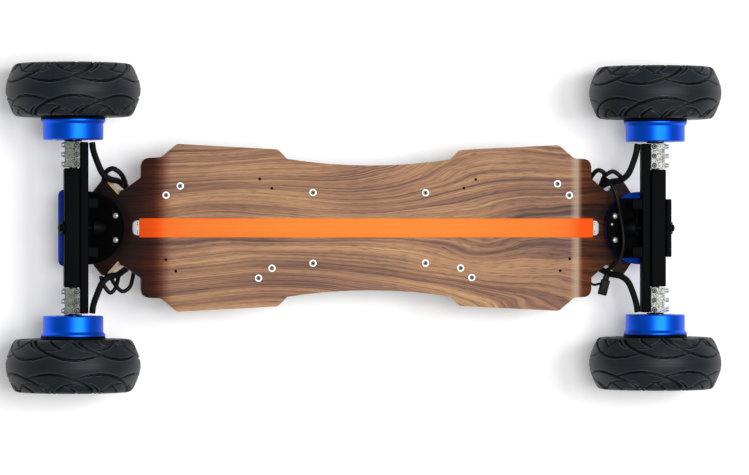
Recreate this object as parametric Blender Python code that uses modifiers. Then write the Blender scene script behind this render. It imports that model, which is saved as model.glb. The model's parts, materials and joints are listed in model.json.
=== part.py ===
"""Electric skateboard: a ply deck on two steering trucks with four hub-motor wheels.

Metres, +Z up, +X towards the front truck, +Y to the left. The origin is on the ground under the centre.
"""

import math

import bmesh
import bpy
from mathutils import Matrix, Vector

# Wheels
TYRE_R = 0.095
TYRE_WIDTH = 0.074
WHEEL_Y = 0.194
AXLE_X = 0.418
AXLE_Z = TYRE_R
RIM_R = 0.0477
CAN_R = 0.0425
AXLE_R = 0.006
BORE_R = 0.0066

# Deck
DECK_TOP = 0.118
DECK_THICK = 0.012
BEND_X = 0.298
BEND_HALF = 0.012
TIP_SLOPE = math.tan(math.radians(30))
TIP_X = 0.392
WAIST_HALF = 0.0885
WAIST_END_X = 0.117
SCREW_X = 0.0805
SCREW_Y = 0.050
STRIPE_HALF = 0.0135
STRIPE_X = 0.3255
SPARE_HOLES = (
    (-0.156, 0.069), (-0.139, 0.056), (-0.289, -0.045), (-0.275, -0.061),
    (0.153, 0.069), (0.136, 0.0565), (0.289, -0.044), (0.275, -0.061),
)

# Tub under the deck
TUB_X = 0.240
TUB_Y = 0.076
TUB_Z = 0.066
TUB_RIM_Z = 0.1047
TUB_WALL = 0.003
BUTTON_X = -0.190
PORT_X = -0.155
SIDE_Z = 0.086
LEAD_Y = 0.030
LEAD_Z = 0.088
GLAND_DEPTH = 0.010

# Trucks
STEER_ANGLE = math.radians(20)
STEER_Z = 0.095
BASE_TOP_LIFT = 0.008 / math.cos(math.radians(30))
BASE_ROUND_R = 0.052
BASE_ROUND_X = 0.397
BASE_FLOOR_Z = 0.058
BASE_FLOOR_THICK = 0.008
BASE_END_X = 0.437
BASE_HALF = 0.055
BOSS_R = 0.012
KINGPIN_R = 0.005
NUT_R = 0.010
NUT_START = {1: 0.0187, -1: 0.0132}
HANGER_LOW = (0.4095, -0.084, 0.082)
HANGER_HIGH = (0.431, 0.084, 0.110)
RAIL_X = (0.397, 0.4092)
RAIL_Z = (0.086, 0.106)
RAIL_HALF = 0.121
CLAMP_Y = (0.0855, 0.121)
GAP = 0.0003

END_NAMES = {1: "front", -1: "rear"}
SIDE_NAMES = {1: "left", -1: "right"}
LEAD_R = 0.0045
LEAD_ROUTE = (
    (0.3915, 0.1205, 0.097), (0.3895, 0.108, 0.098), (0.384, 0.092, 0.100),
    (0.377, 0.077, 0.100), (0.367, 0.069, 0.096), (0.354, 0.066, 0.087),
    (0.344, 0.060, 0.072), (0.330, 0.050, 0.066), (0.308, 0.040, 0.074),
    (0.282, 0.0325, 0.085), (0.262, LEAD_Y, LEAD_Z), (0.246, LEAD_Y, LEAD_Z), (0.233, LEAD_Y, LEAD_Z),
)
LEAD_POINTS = 30


def clear_scene():
    for obj in list(bpy.data.objects):
        bpy.data.objects.remove(obj, do_unlink=True)


def new_collection(name):
    made = bpy.data.collections.new(name)
    bpy.context.scene.collection.children.link(made)
    return made


def material(name, colour, roughness, metallic=0.0):
    made = bpy.data.materials.new(name)
    made.use_nodes = True
    shader = made.node_tree.nodes["Principled BSDF"]
    shader.inputs["Base Color"].default_value = (*colour, 1.0)
    shader.inputs["Roughness"].default_value = roughness
    shader.inputs["Metallic"].default_value = metallic
    made.diffuse_color = (*colour, 1.0)
    return made


clear_scene()
BOARD = new_collection("electric_skateboard")
CUTTERS = new_collection("cutters")
WALNUT = material("walnut_ply", (0.36, 0.20, 0.11), 0.45)
ORANGE = material("orange_inlay", (1.0, 0.25, 0.03), 0.5)
STEEL = material("zinc_steel", (0.62, 0.62, 0.6), 0.35, 1.0)
BLUE = material("blue_anodised", (0.01, 0.12, 0.8), 0.3, 1.0)
BLACK = material("black_powder_coat", (0.015, 0.015, 0.017), 0.5)
PLASTIC = material("black_plastic", (0.02, 0.02, 0.02), 0.45)
CAST = material("cast_aluminium", (0.55, 0.54, 0.5), 0.5, 1.0)
RUBBER = material("tyre_rubber", (0.02, 0.02, 0.022), 0.8)
URETHANE = material("urethane", (0.03, 0.03, 0.03), 0.6)
COPPER = material("stator_copper", (0.5, 0.22, 0.1), 0.5, 1.0)
WRAP = material("cell_wrap", (0.05, 0.25, 0.3), 0.5)


def pivot(name, place):
    """An empty on a joint's axis, which carries that joint's pieces."""
    empty = bpy.data.objects.new(name, None)
    empty.location = place
    BOARD.objects.link(empty)
    return empty


STEER_PIVOTS = {end: pivot(END_NAMES[end] + "_steering_pivot", (end * AXLE_X, 0, STEER_Z)) for end in (1, -1)}


def carry(obj, parent):
    """Parents obj to an unturned empty, keeping its place."""
    if parent is not None:
        obj.location = Vector(obj.location) - parent.location
        obj.parent = parent


def solid(name, bm, finish, end=1, side=1, parent=None, origin=(0, 0, 0), helper=False):
    """Makes an object of a mesh drawn for the front left, mirrored to the end and side asked for."""
    bmesh.ops.scale(bm, verts=bm.verts, vec=(end, side, 1))
    if end * side < 0:
        bmesh.ops.reverse_faces(bm, faces=bm.faces)
    bmesh.ops.translate(bm, verts=bm.verts, vec=-Vector(origin))
    mesh = bpy.data.meshes.new(name)
    bm.to_mesh(mesh)
    bm.free()
    obj = bpy.data.objects.new(name, mesh)
    obj.location = origin
    if helper:
        obj.hide_render = True
        obj.display_type = "WIRE"
        CUTTERS.objects.link(obj)
    else:
        mesh.materials.append(finish)
        BOARD.objects.link(obj)
    carry(obj, parent)
    return obj


def boolean(obj, other, operation="DIFFERENCE"):
    step = obj.modifiers.new(operation.lower(), "BOOLEAN")
    step.operation = operation
    step.solver = "EXACT"
    step.object = other


def bevel(obj, width, segments=1):
    step = obj.modifiers.new("bevel", "BEVEL")
    step.width = width
    step.segments = segments
    step.limit_method = "ANGLE"
    return obj


def box_mesh(low, high):
    bm = bmesh.new()
    bmesh.ops.create_cube(bm, size=1.0)
    low, high = Vector(low), Vector(high)
    bmesh.ops.scale(bm, verts=bm.verts, vec=high - low)
    bmesh.ops.translate(bm, verts=bm.verts, vec=(low + high) / 2)
    return bm


def add_cylinder(bm, start, stop, radius, sides=24):
    start, stop = Vector(start), Vector(stop)
    turn = (stop - start).to_track_quat("Z", "Y").to_matrix().to_4x4()
    bmesh.ops.create_cone(
        bm, cap_ends=True, segments=sides, radius1=radius, radius2=radius,
        depth=(stop - start).length, matrix=Matrix.Translation((start + stop) / 2) @ turn,
    )
    return bm


def rounded_outline(corners, steps=3):
    """The points of a closed outline whose corners, (x, y, radius), are replaced by arcs."""
    points = []
    for index, (x, y, radius) in enumerate(corners):
        here = Vector((x, y))
        if radius == 0:
            points.append(here)
            continue
        before = (Vector(corners[index - 1][:2]) - here).normalized()
        after = (Vector(corners[(index + 1) % len(corners)][:2]) - here).normalized()
        half = before.angle(after) / 2
        centre = here + (before + after).normalized() * radius / math.sin(half)
        first = here + before * radius / math.tan(half) - centre
        last = here + after * radius / math.tan(half) - centre
        turn = first.angle_signed(last)
        for step in range(steps + 1):
            angle = -turn * step / steps
            points.append(centre + Matrix.Rotation(angle, 2) @ first)
    return points


def prism(points, low, high):
    """A flat outline in X and Y, extruded from low to high."""
    bm = bmesh.new()
    face = bm.faces.new([bm.verts.new((point[0], point[1], low)) for point in points])
    raised = bmesh.ops.extrude_face_region(bm, geom=[face])
    bmesh.ops.translate(bm, verts=[v for v in raised["geom"] if isinstance(v, bmesh.types.BMVert)],
                        vec=(0, 0, high - low))
    bmesh.ops.recalc_face_normals(bm, faces=bm.faces)
    return bm


def side_prism(points, low, high):
    """An outline in X and Z, extruded along Y from low to high."""
    bm = prism([(x, z) for x, z in points], -high, -low)
    bmesh.ops.rotate(bm, verts=bm.verts, matrix=Matrix.Rotation(math.radians(90), 3, "X"))
    return bm


def turned(name, profile, steps, finish, place, direction, parent=None):
    """A profile of (radius, distance along Y), outboard end first, turned about the axis through place."""
    ring = profile[0][0] > 0
    count = len(profile)
    edges = [(i, (i + 1) % count) for i in range(count if ring else count - 1)]
    mesh = bpy.data.meshes.new(name)
    mesh.from_pydata([(radius, 0, along) for radius, along in profile], edges, [])
    obj = bpy.data.objects.new(name, mesh)
    obj.location = place
    obj.rotation_euler.x = math.radians(-90 * direction)
    step = obj.modifiers.new("turn", "SCREW")
    step.steps = step.render_steps = steps
    step.use_merge_vertices = True
    step.merge_threshold = 0.00001
    mesh.materials.append(finish)
    BOARD.objects.link(obj)
    carry(obj, parent)
    return obj


# ---- deck ----------------------------------------------------------------------------------------

def drop_and_slope(x):
    """How far the deck's top is below its platform at x, and how steep it is there."""
    run = abs(x) - BEND_X
    if run <= -BEND_HALF:
        return 0.0, 0.0
    if run >= BEND_HALF:
        return run * TIP_SLOPE, TIP_SLOPE
    share = (run + BEND_HALF) / (2 * BEND_HALF)
    return TIP_SLOPE * BEND_HALF * share * share, TIP_SLOPE * share


def board_height(x, depth):
    """The height of a layer depth below the deck's top at x, measured square to the ply."""
    drop, slope = drop_and_slope(x)
    return DECK_TOP - drop - depth * math.sqrt(1 + slope * slope)


def bent_prism(points, top_depth, low_depth):
    """An outline laid on the bent board, from low_depth to top_depth below its top surface."""
    bm = prism(points, 0.0, 1.0)
    for end in (1, -1):
        for share in (-1, -0.5, 0, 0.5, 1):
            bmesh.ops.bisect_plane(
                bm, geom=bm.verts[:] + bm.edges[:] + bm.faces[:],
                plane_co=(end * (BEND_X + share * BEND_HALF), 0, 0), plane_no=(1, 0, 0),
            )
    for vert in bm.verts:
        vert.co.z = board_height(vert.co.x, low_depth if vert.co.z < 0.5 else top_depth)
    return bm


def deck_outline():
    waist = [(WAIST_END_X * i / 4, WAIST_HALF + 0.009 * (i / 4) ** 2, 0) for i in range(5)]
    quarter = waist + [
        (0.1305, 0.111, 0.008), (0.273, 0.1183, 0.008), (0.2955, 0.0993, 0.010),
        (0.323, 0.0983, 0.011), (0.323, 0.071, 0.003), (0.3455, 0.054, 0.003),
        (0.351, 0.0525, 0.002), (0.366, 0.070, 0.003), (0.377, 0.066, 0.006), (TIP_X, 0.046, 0.006),
    ]
    right_half = quarter + [(x, -y, r) for x, y, r in reversed(quarter)][:-1]
    left_half = [(-x, -y, r) for x, y, r in quarter[:]] + [(-x, y, r) for x, y, r in reversed(quarter)][:-1]
    return rounded_outline(right_half + left_half)


def make_deck():
    deck = solid("deck", bent_prism(deck_outline(), 0.0, DECK_THICK), WALNUT)
    holes = bmesh.new()
    for x, y in SPARE_HOLES:
        add_cylinder(holes, (x, y, 0.09), (x, y, 0.13), 0.0022, 10)
    for x in (-SCREW_X, SCREW_X):
        for y in (-SCREW_Y, SCREW_Y):
            add_cylinder(holes, (x, y, 0.09), (x, y, 0.13), 0.003, 12)
    boolean(deck, solid("deck_hole_cutter", holes, None, helper=True))
    stripe = rounded_outline([
        (STRIPE_X, STRIPE_HALF, 0), (-STRIPE_X, STRIPE_HALF, 0),
        (-STRIPE_X, -STRIPE_HALF, 0), (STRIPE_X, -STRIPE_HALF, 0),
    ])
    solid("deck_stripe", bent_prism(stripe, -0.0010, -GAP), ORANGE)
    clip = rounded_outline([
        (0.3258, 0.0105, 0), (0.3258, -0.0105, 0), (0.3345, -0.0105, 0.006), (0.3345, 0.0105, 0.006),
    ])
    for end in (1, -1):
        name = "stripe_clip_" + END_NAMES[end]
        solid(name, bent_prism(clip, -0.0022, -GAP), STEEL, end)


def make_deck_screws():
    profile = [
        (0, 0.0034), (0.0036, 0.0030), (0.0054, 0.0016), (0.0059, GAP),
        (0.0026, GAP), (0.0026, -0.024), (0, -0.024),
    ]
    number = 0
    for x in (-SCREW_X, SCREW_X):
        for y in (-SCREW_Y, SCREW_Y):
            number += 1
            screw = turned(f"deck_screw_{number}", profile, 12, STEEL, (x, y, DECK_TOP), 1)
            screw.rotation_euler.x = 0


# ---- tub, battery and electronics ----------------------------------------------------------------

def tub_outline(inset):
    x, y, radius = TUB_X - inset, TUB_Y - inset, 0.022 - inset
    return rounded_outline([(x, y, radius), (-x, y, radius), (-x, -y, radius), (x, -y, radius)])


def make_tub():
    tub = solid("battery_tub", prism(tub_outline(0), TUB_Z, TUB_RIM_Z), PLASTIC)
    inside = solid("tub_inside", prism(tub_outline(TUB_WALL), TUB_Z + TUB_WALL, 0.13), None, helper=True)
    boolean(tub, inside)
    posts = bmesh.new()
    holes = bmesh.new()
    for x in (-SCREW_X, SCREW_X):
        for y in (-SCREW_Y, SCREW_Y):
            add_cylinder(posts, (x, y, TUB_Z + 0.001), (x, y, TUB_RIM_Z), 0.006, 12)
            add_cylinder(holes, (x, y, 0.088), (x, y, 0.13), 0.003, 12)
    for end in (1, -1):
        for side in (1, -1):
            start = (end * 0.22, side * LEAD_Y, LEAD_Z)
            add_cylinder(holes, start, (end * 0.25, side * LEAD_Y, LEAD_Z), 0.005, 12)
    add_cylinder(holes, (BUTTON_X, -0.09, SIDE_Z), (BUTTON_X, -0.065, SIDE_Z), 0.0085, 20)
    add_cylinder(holes, (PORT_X, -0.09, SIDE_Z), (PORT_X, -0.065, SIDE_Z), 0.0074, 20)
    boolean(tub, solid("tub_posts", posts, None, helper=True), "UNION")
    boolean(tub, solid("tub_holes", holes, None, helper=True))
    seal = solid("tub_seal", prism(tub_outline(0.0005), TUB_RIM_Z + GAP, 0.1057), URETHANE)
    hollow = solid("seal_inside", prism(tub_outline(0.004), 0.09, 0.13), None, helper=True)
    boolean(seal, hollow)


def make_electronics():
    battery = solid("battery_pack", box_mesh((-0.228, -0.042, 0.0695), (0.072, 0.042, 0.098)), WRAP)
    bevel(battery, 0.006, 2)
    controller = solid("motor_controller", box_mesh((0.095, -0.052, 0.0695), (0.222, 0.052, 0.094)), CAST)
    fins = bmesh.new()
    for index in range(7):
        low = -0.045 + index * 0.0135
        slot = box_mesh((0.10, low, 0.088), (0.20, low + 0.009, 0.12))
        part = bpy.data.meshes.new("slot")
        slot.to_mesh(part)
        fins.from_mesh(part)
        slot.free()
    boolean(controller, solid("fin_slots", fins, None, helper=True))
    button = [
        (0, 0.0790), (0.0068, 0.0790), (0.0080, 0.0778), (0.0080, 0.0726),
        (0.0095, 0.0726), (0.0095, 0.0705), (0, 0.0705),
    ]
    turned("power_button", button, 20, STEEL, (BUTTON_X, 0, SIDE_Z), -1)
    port = [
        (0, 0.069), (0.0045, 0.069), (0.0045, 0.079), (0.011, 0.079),
        (0.011, 0.0763), (0.0070, 0.0763), (0.0070, 0.064), (0, 0.064),
    ]
    turned("charge_port", port, 20, BLACK, (PORT_X, 0, SIDE_Z), -1)
    flap = rounded_outline([
        (PORT_X + 0.010, SIDE_Z + 0.0145, 0.002), (PORT_X - 0.010, SIDE_Z + 0.0145, 0.002),
        (PORT_X - 0.011, SIDE_Z - 0.011, 0.007), (PORT_X + 0.011, SIDE_Z - 0.011, 0.007),
    ])
    hinge = (PORT_X, -0.0804, SIDE_Z + 0.013)
    solid("charge_port_cap", side_prism(flap, -0.0815, -0.0793), URETHANE, origin=hinge)


def make_glands():
    for end in (1, -1):
        low = (TUB_X + GAP, -0.042, 0.078)
        high = (TUB_X + GLAND_DEPTH, 0.042, 0.098)
        gland = solid("lead_gland_" + END_NAMES[end], box_mesh(low, high), PLASTIC, end)
        holes = bmesh.new()
        for side in (1, -1):
            start = (TUB_X - 0.01, side * LEAD_Y, LEAD_Z)
            add_cylinder(holes, start, (TUB_X + 0.02, side * LEAD_Y, LEAD_Z), 0.005, 12)
        boolean(gland, solid("gland_holes_" + END_NAMES[end], holes, None, end, helper=True))


# ---- trucks --------------------------------------------------------------------------------------

def on_steer_axis(distance):
    """A point on the front steering axis, distance outboard of the axle."""
    return Vector((
        AXLE_X + distance * math.cos(STEER_ANGLE), 0, STEER_Z + distance * math.sin(STEER_ANGLE),
    ))


def steer_cylinder(start, stop, radius, sides=24):
    return add_cylinder(bmesh.new(), on_steer_axis(start), on_steer_axis(stop), radius, sides)


def wood_line(x):
    """The height of the sloped tip's top, carried on past its end."""
    return DECK_TOP - (x - BEND_X) * TIP_SLOPE


def round_plate(radius, half, start_angle_x, end_x):
    """A plate outline with a round inboard side and a straight outboard edge."""
    reach = math.asin(min(1.0, half / radius))
    arc = []
    for step in range(13):
        angle = reach - 2 * reach * step / 12
        arc.append((start_angle_x - radius * math.cos(angle), radius * math.sin(angle)))
    return [(end_x, half)] + arc + [(end_x, -half)]


def make_base(end):
    name = END_NAMES[end]
    floor_top = BASE_FLOOR_Z + BASE_FLOOR_THICK
    under_x = BEND_X + (DECK_TOP + GAP - BASE_FLOOR_Z) / TIP_SLOPE
    top_x = BEND_X + (DECK_TOP + BASE_TOP_LIFT - floor_top) / TIP_SLOPE
    start = 0.340
    section = [
        (start, wood_line(start) + GAP), (under_x, BASE_FLOOR_Z), (BASE_END_X, BASE_FLOOR_Z),
        (BASE_END_X, floor_top), (top_x, floor_top), (start, wood_line(start) + BASE_TOP_LIFT),
    ]
    base = solid("truck_base_" + name, side_prism(section, -0.06, 0.06), BLUE, end)
    plan = round_plate(BASE_ROUND_R, BASE_ROUND_R - 0.0005, BASE_ROUND_X, BASE_ROUND_X + 0.004)
    wide = rounded_outline([
        (BASE_END_X, BASE_HALF, 0.008), (plan[1][0], plan[1][1], 0), *[(x, y, 0) for x, y in plan[2:-2]],
        (plan[-2][0], plan[-2][1], 0), (BASE_END_X, -BASE_HALF, 0.008),
    ])
    boolean(base, solid("base_plan_" + name, prism(wide, 0.03, 0.15), None, end, helper=True), "INTERSECT")
    boss = steer_cylinder(-0.046, -0.0268, BOSS_R)
    boolean(base, solid("base_boss_" + name, boss, None, end, helper=True), "UNION")
    under = [
        (0.33, wood_line(0.33) + GAP), (under_x, BASE_FLOOR_Z), (under_x, 0.02), (0.33, 0.02),
    ]
    boolean(base, solid("base_under_" + name, side_prism(under, -0.07, 0.07), None, end, helper=True))
    bore = steer_cylinder(-0.0420, 0.0, KINGPIN_R + GAP)
    boolean(base, solid("base_bore_" + name, bore, None, end, helper=True))


def make_cover(end):
    name = END_NAMES[end]
    lift = BASE_TOP_LIFT + GAP
    thick = 0.005 / math.cos(math.radians(30))
    section = [
        (0.344, wood_line(0.344) + lift), (0.395, wood_line(0.395) + lift),
        (0.395, wood_line(0.395) + lift + thick), (0.344, wood_line(0.344) + lift + thick),
    ]
    cover = solid("base_cover_" + name, side_prism(section, -0.06, 0.06), PLASTIC, end)
    plan = round_plate(0.0495, 0.0415, 0.397, 0.3945)
    boolean(cover, solid("cover_plan_" + name, prism(plan, 0.03, 0.15), None, end, helper=True), "INTERSECT")
    room = steer_cylinder(-0.060, 0.0, BOSS_R + 0.0006)
    boolean(cover, solid("cover_room_" + name, room, None, end, helper=True))


def make_kingpin(end):
    name = END_NAMES[end]
    nut_start = NUT_START[end]
    nut_stop = nut_start + 0.006
    solid("kingpin_" + name, steer_cylinder(-0.0415, nut_stop + 0.003, KINGPIN_R, 16), STEEL, end)
    nut = solid("kingpin_nut_" + name, steer_cylinder(nut_start, nut_stop, NUT_R, 6), BLACK, end)
    hole = steer_cylinder(nut_start - 0.01, nut_stop + 0.01, KINGPIN_R + GAP, 16)
    boolean(nut, solid("nut_hole_" + name, hole, None, end, helper=True))


def cut_nut_pocket(piece, end):
    """A round pocket that the kingpin's nut sits in, so that the truck can turn about it."""
    pocket = steer_cylinder(NUT_START[end] - 0.0006, 0.05, NUT_R + 0.0008, 28)
    boolean(piece, solid("nut_pocket_" + END_NAMES[end], pocket, None, end, helper=True))


def truck_piece(name, bm, finish, end, side=1):
    """A piece that turns with its truck, with its origin on the steering axis."""
    origin = (end * AXLE_X, 0, STEER_Z)
    return solid(name, bm, finish, end, side, STEER_PIVOTS[end], origin)


def make_hanger(end):
    name = END_NAMES[end]
    hanger = bevel(truck_piece("hanger_" + name, box_mesh(HANGER_LOW, HANGER_HIGH), BLACK, end), 0.0015)
    holes = steer_cylinder(-0.03, 0.03, 0.007, 20)
    for side in (1, -1):
        add_cylinder(holes, (AXLE_X, side * 0.055, AXLE_Z), (AXLE_X, side * 0.1, AXLE_Z), AXLE_R + GAP, 16)
    boolean(hanger, solid("hanger_holes_" + name, holes, None, end, helper=True))
    if end == -1:
        cut_nut_pocket(hanger, end)
    sleeve = truck_piece("pivot_bushing_" + name, steer_cylinder(-0.0075, 0.0108, 0.0066, 20), URETHANE, end)
    bore = steer_cylinder(-0.03, 0.03, KINGPIN_R + GAP, 20)
    boolean(sleeve, solid("bushing_bore_" + name, bore, None, end, helper=True))
    low = (RAIL_X[0], -RAIL_HALF, RAIL_Z[0])
    high = (RAIL_X[1], RAIL_HALF, RAIL_Z[1])
    rail = bevel(truck_piece("hanger_rail_" + name, box_mesh(low, high), BLACK, end), 0.0015)
    for side in (1, -1):
        lug = box_mesh((0.3835, 0.028, 0.0965), (0.3985, 0.041, 0.1045))
        step = solid(f"rail_lug_{name}_{side}", lug, None, end, side, helper=True)
        boolean(rail, step, "UNION")
    room = steer_cylinder(-0.05, 0.02, 0.0085, 20)
    boolean(rail, solid("rail_room_" + name, room, None, end, helper=True))


def make_bumper_plate():
    low = (HANGER_HIGH[0] + GAP, -0.0415, 0.084)
    plate = bevel(truck_piece("bumper_plate", box_mesh(low, (0.4385, 0.0415, 0.112)), BLACK, 1), 0.001)
    bore = steer_cylinder(0.0, 0.05, 0.0058, 20)
    boolean(plate, solid("bumper_bore", bore, None, helper=True))
    cut_nut_pocket(plate, 1)


def make_clamps(end, side):
    name = f"{END_NAMES[end]}_{SIDE_NAMES[side]}"
    low = (0.4095, CLAMP_Y[0], 0.0815)
    high = (0.4315, CLAMP_Y[1], 0.1105)
    clamp = bevel(truck_piece("axle_clamp_" + name, box_mesh(low, high), CAST, end, side), 0.002)
    cut = add_cylinder(
        bmesh.new(), (AXLE_X, 0.07, AXLE_Z), (AXLE_X, 0.13, AXLE_Z), AXLE_R + GAP, 16,
    )
    boolean(clamp, solid("clamp_bore_" + name, cut, None, end, side, helper=True))


def make_dampers(end, side):
    name = f"{END_NAMES[end]}_{SIDE_NAMES[side]}"
    x, y = 0.3895, 0.0345
    foot = wood_line(x - 0.0055) + BASE_TOP_LIFT + GAP + 0.005 / math.cos(math.radians(30)) + GAP
    puck = add_cylinder(bmesh.new(), (x, y, foot), (x, y, 0.0962), 0.0055, 16)
    solid("damper_" + name, puck, URETHANE, end, side)


# ---- wheels --------------------------------------------------------------------------------------

def make_wheel(end, side):
    name = f"{END_NAMES[end]}_{SIDE_NAMES[side]}"
    place = (end * AXLE_X, 0, AXLE_Z)
    parent = STEER_PIVOTS[end]
    half = [
        (0.048, 0.031), (0.058, 0.0355), (0.070, TYRE_WIDTH / 2), (0.080, 0.0355),
        (0.0885, 0.029), (0.0935, 0.017),
    ]
    tyre = [(r, WHEEL_Y + w) for r, w in half] + [(TYRE_R, WHEEL_Y)]
    tyre += [(r, WHEEL_Y - w) for r, w in reversed(half)]
    turned("tyre_" + name, tyre, 36, RUBBER, place, side, parent)
    rim = [
        (RIM_R, 0.226), (RIM_R, 0.1605), (0.0455, 0.1583), (0.0455, 0.1530), (BORE_R, 0.1530),
        (BORE_R, 0.1590), (0.0427, 0.1590), (0.0427, 0.208), (BORE_R, 0.208),
        (BORE_R, 0.214), (0.0427, 0.214), (0.0427, 0.226),
    ]
    turned("wheel_rim_" + name, rim, 24, BLACK, place, side, parent)
    can = [
        (0.0455, 0.1527), (0.0455, 0.1503), (CAN_R, 0.1470), (CAN_R, 0.1255), (0.0415, 0.1240),
        (BORE_R, 0.1240), (BORE_R, 0.1270), (0.0390, 0.1270), (0.0390, 0.1527),
    ]
    turned("motor_can_" + name, can, 24, BLUE, place, side, parent)
    stator = [
        (0, 0.222), (AXLE_R, 0.222), (AXLE_R, 0.150), (0.036, 0.150),
        (0.036, 0.129), (AXLE_R, 0.129), (AXLE_R, 0.057), (0, 0.057),
    ]
    turned("motor_stator_" + name, stator, 16, COPPER, place, side, parent)


# ---- motor leads ---------------------------------------------------------------------------------

def smooth_route(route, count):
    """Evenly spaced points on the smooth curve through the route's own points."""
    points = [Vector(p) for p in route]
    points = [2 * points[0] - points[1], *points, 2 * points[-1] - points[-2]]
    fine = []
    for a, b, c, d in zip(points, points[1:], points[2:], points[3:]):
        for step in range(12):
            t = step / 12
            fine.append(0.5 * (2 * b + (c - a) * t + (2 * a - 5 * b + 4 * c - d) * t * t
                               + (3 * b - a - 3 * c + d) * t ** 3))
    fine.append(points[-2])
    lengths = [0.0]
    for a, b in zip(fine, fine[1:]):
        lengths.append(lengths[-1] + (b - a).length)
    even = []
    index = 0
    for step in range(count):
        want = lengths[-1] * step / (count - 1)
        while index < len(fine) - 2 and lengths[index + 1] < want:
            index += 1
        share = (want - lengths[index]) / (lengths[index + 1] - lengths[index])
        even.append(fine[index].lerp(fine[index + 1], share))
    return even


def make_lead(end, side):
    name = f"motor_lead_{END_NAMES[end]}_{SIDE_NAMES[side]}"
    curve = bpy.data.curves.new(name, "CURVE")
    curve.dimensions = "3D"
    curve.bevel_depth = LEAD_R
    curve.bevel_resolution = 2
    curve.use_fill_caps = True
    spline = curve.splines.new("POLY")
    route = smooth_route(LEAD_ROUTE, LEAD_POINTS)
    spline.points.add(len(route) - 1)
    for point, place in zip(spline.points, route):
        point.co = (end * place.x, side * place.y, place.z, 1)
    obj = bpy.data.objects.new(name, curve)
    curve.materials.append(PLASTIC)
    BOARD.objects.link(obj)


make_deck()
make_deck_screws()
make_tub()
make_electronics()
make_glands()
make_bumper_plate()
for truck_end in (1, -1):
    make_base(truck_end)
    make_cover(truck_end)
    make_kingpin(truck_end)
    make_hanger(truck_end)
    for wheel_side in (1, -1):
        make_clamps(truck_end, wheel_side)
        make_dampers(truck_end, wheel_side)
        make_wheel(truck_end, wheel_side)
        make_lead(truck_end, wheel_side)
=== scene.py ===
"""Studio scene of an all-terrain electric skateboard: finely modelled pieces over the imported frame.

Metres, +Z up, +X towards the front truck, +Y to the left.
"""
import json
import math

import bpy
import numpy as np
from mathutils import Matrix, Vector


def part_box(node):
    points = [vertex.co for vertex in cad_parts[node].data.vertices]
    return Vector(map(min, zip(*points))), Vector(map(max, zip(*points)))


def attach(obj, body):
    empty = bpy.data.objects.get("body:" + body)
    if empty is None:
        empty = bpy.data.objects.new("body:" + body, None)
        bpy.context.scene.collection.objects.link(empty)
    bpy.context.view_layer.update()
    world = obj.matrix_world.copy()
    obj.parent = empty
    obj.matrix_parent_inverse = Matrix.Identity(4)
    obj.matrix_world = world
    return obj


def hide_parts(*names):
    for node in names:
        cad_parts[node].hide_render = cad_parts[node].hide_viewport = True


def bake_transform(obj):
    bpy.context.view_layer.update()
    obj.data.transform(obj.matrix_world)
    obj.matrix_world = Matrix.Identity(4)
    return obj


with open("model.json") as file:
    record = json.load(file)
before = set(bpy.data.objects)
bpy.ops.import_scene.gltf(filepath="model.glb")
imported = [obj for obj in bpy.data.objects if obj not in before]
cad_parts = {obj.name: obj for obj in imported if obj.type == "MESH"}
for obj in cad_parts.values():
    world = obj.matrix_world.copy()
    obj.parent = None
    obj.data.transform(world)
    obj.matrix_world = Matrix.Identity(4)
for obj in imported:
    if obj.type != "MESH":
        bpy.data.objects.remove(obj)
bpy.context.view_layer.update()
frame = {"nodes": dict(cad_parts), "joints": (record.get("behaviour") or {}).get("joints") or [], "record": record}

NODES = frame["nodes"]
BODY_OF = {node: body for body, held in frame["record"]["behaviour"]["bodies"].items() for node in held}
JOINTS = {joint["name"]: joint for joint in frame["joints"]}
ENDS = {"front": 1, "rear": -1}
SIDES = {"left": 1, "right": -1}
CORNERS = [(f"{end}_{side}", x, y) for end, x in ENDS.items() for side, y in SIDES.items()]
TRUCK_OF = {f"{end}_{side}": f"{end}_truck" for end in ENDS for side in SIDES}


# ---- sizes read from the frame ----

def box_of(node):
    """A node's lowest and highest corners at rest."""
    return [Vector(corner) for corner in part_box(node)]


TYRE_LOW, TYRE_HIGH = box_of("tyre_front_left")
AXLE_X = (TYRE_LOW.x + TYRE_HIGH.x) / 2
AXLE_Z = (TYRE_LOW.z + TYRE_HIGH.z) / 2
WHEEL_Y = (TYRE_LOW.y + TYRE_HIGH.y) / 2
TYRE_R = (TYRE_HIGH.z - TYRE_LOW.z) / 2
CAN_LOW, CAN_HIGH = box_of("motor_can_front_left")
RIM_LOW, RIM_HIGH = box_of("wheel_rim_front_left")
CLAMP_LOW, CLAMP_HIGH = box_of("axle_clamp_front_left")
DECK_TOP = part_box("deck")[1][2]
STEER_AXIS = Vector(JOINTS["front_steer"]["axis"])
STEER_POINT = Vector(JOINTS["front_steer"]["pos_m"])
BEND_X = 0.298             # where the deck's ends start to slope down
TIP_ANGLE = math.radians(30)
TIP_SLOPE = math.tan(TIP_ANGLE)
PLY_THICK = 0.012
UP = (0, 0, 1)


# ---- modelling helpers ----

def select_only(obj):
    if bpy.context.mode != "OBJECT":
        bpy.ops.object.mode_set(mode="OBJECT")
    bpy.ops.object.select_all(action="DESELECT")
    obj.select_set(True)
    bpy.context.view_layer.objects.active = obj


def edit_whole(obj):
    """Opens a piece in edit mode with all of it selected."""
    select_only(obj)
    bpy.ops.object.mode_set(mode="EDIT")
    bpy.ops.mesh.select_all(action="SELECT")


def settled(obj, name):
    """Names a finished shape and puts its place into its mesh."""
    select_only(obj)
    bpy.ops.object.transform_apply(location=True, rotation=True, scale=True)
    obj.name = name
    obj.data.name = name
    return obj


def apply(obj, kind, **settings):
    """Adds a modifier and applies it."""
    select_only(obj)
    step = obj.modifiers.new(kind.lower(), kind)
    for key, value in settings.items():
        setattr(step, key, value)
    bpy.ops.object.modifier_apply(modifier=step.name)
    return obj


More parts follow.
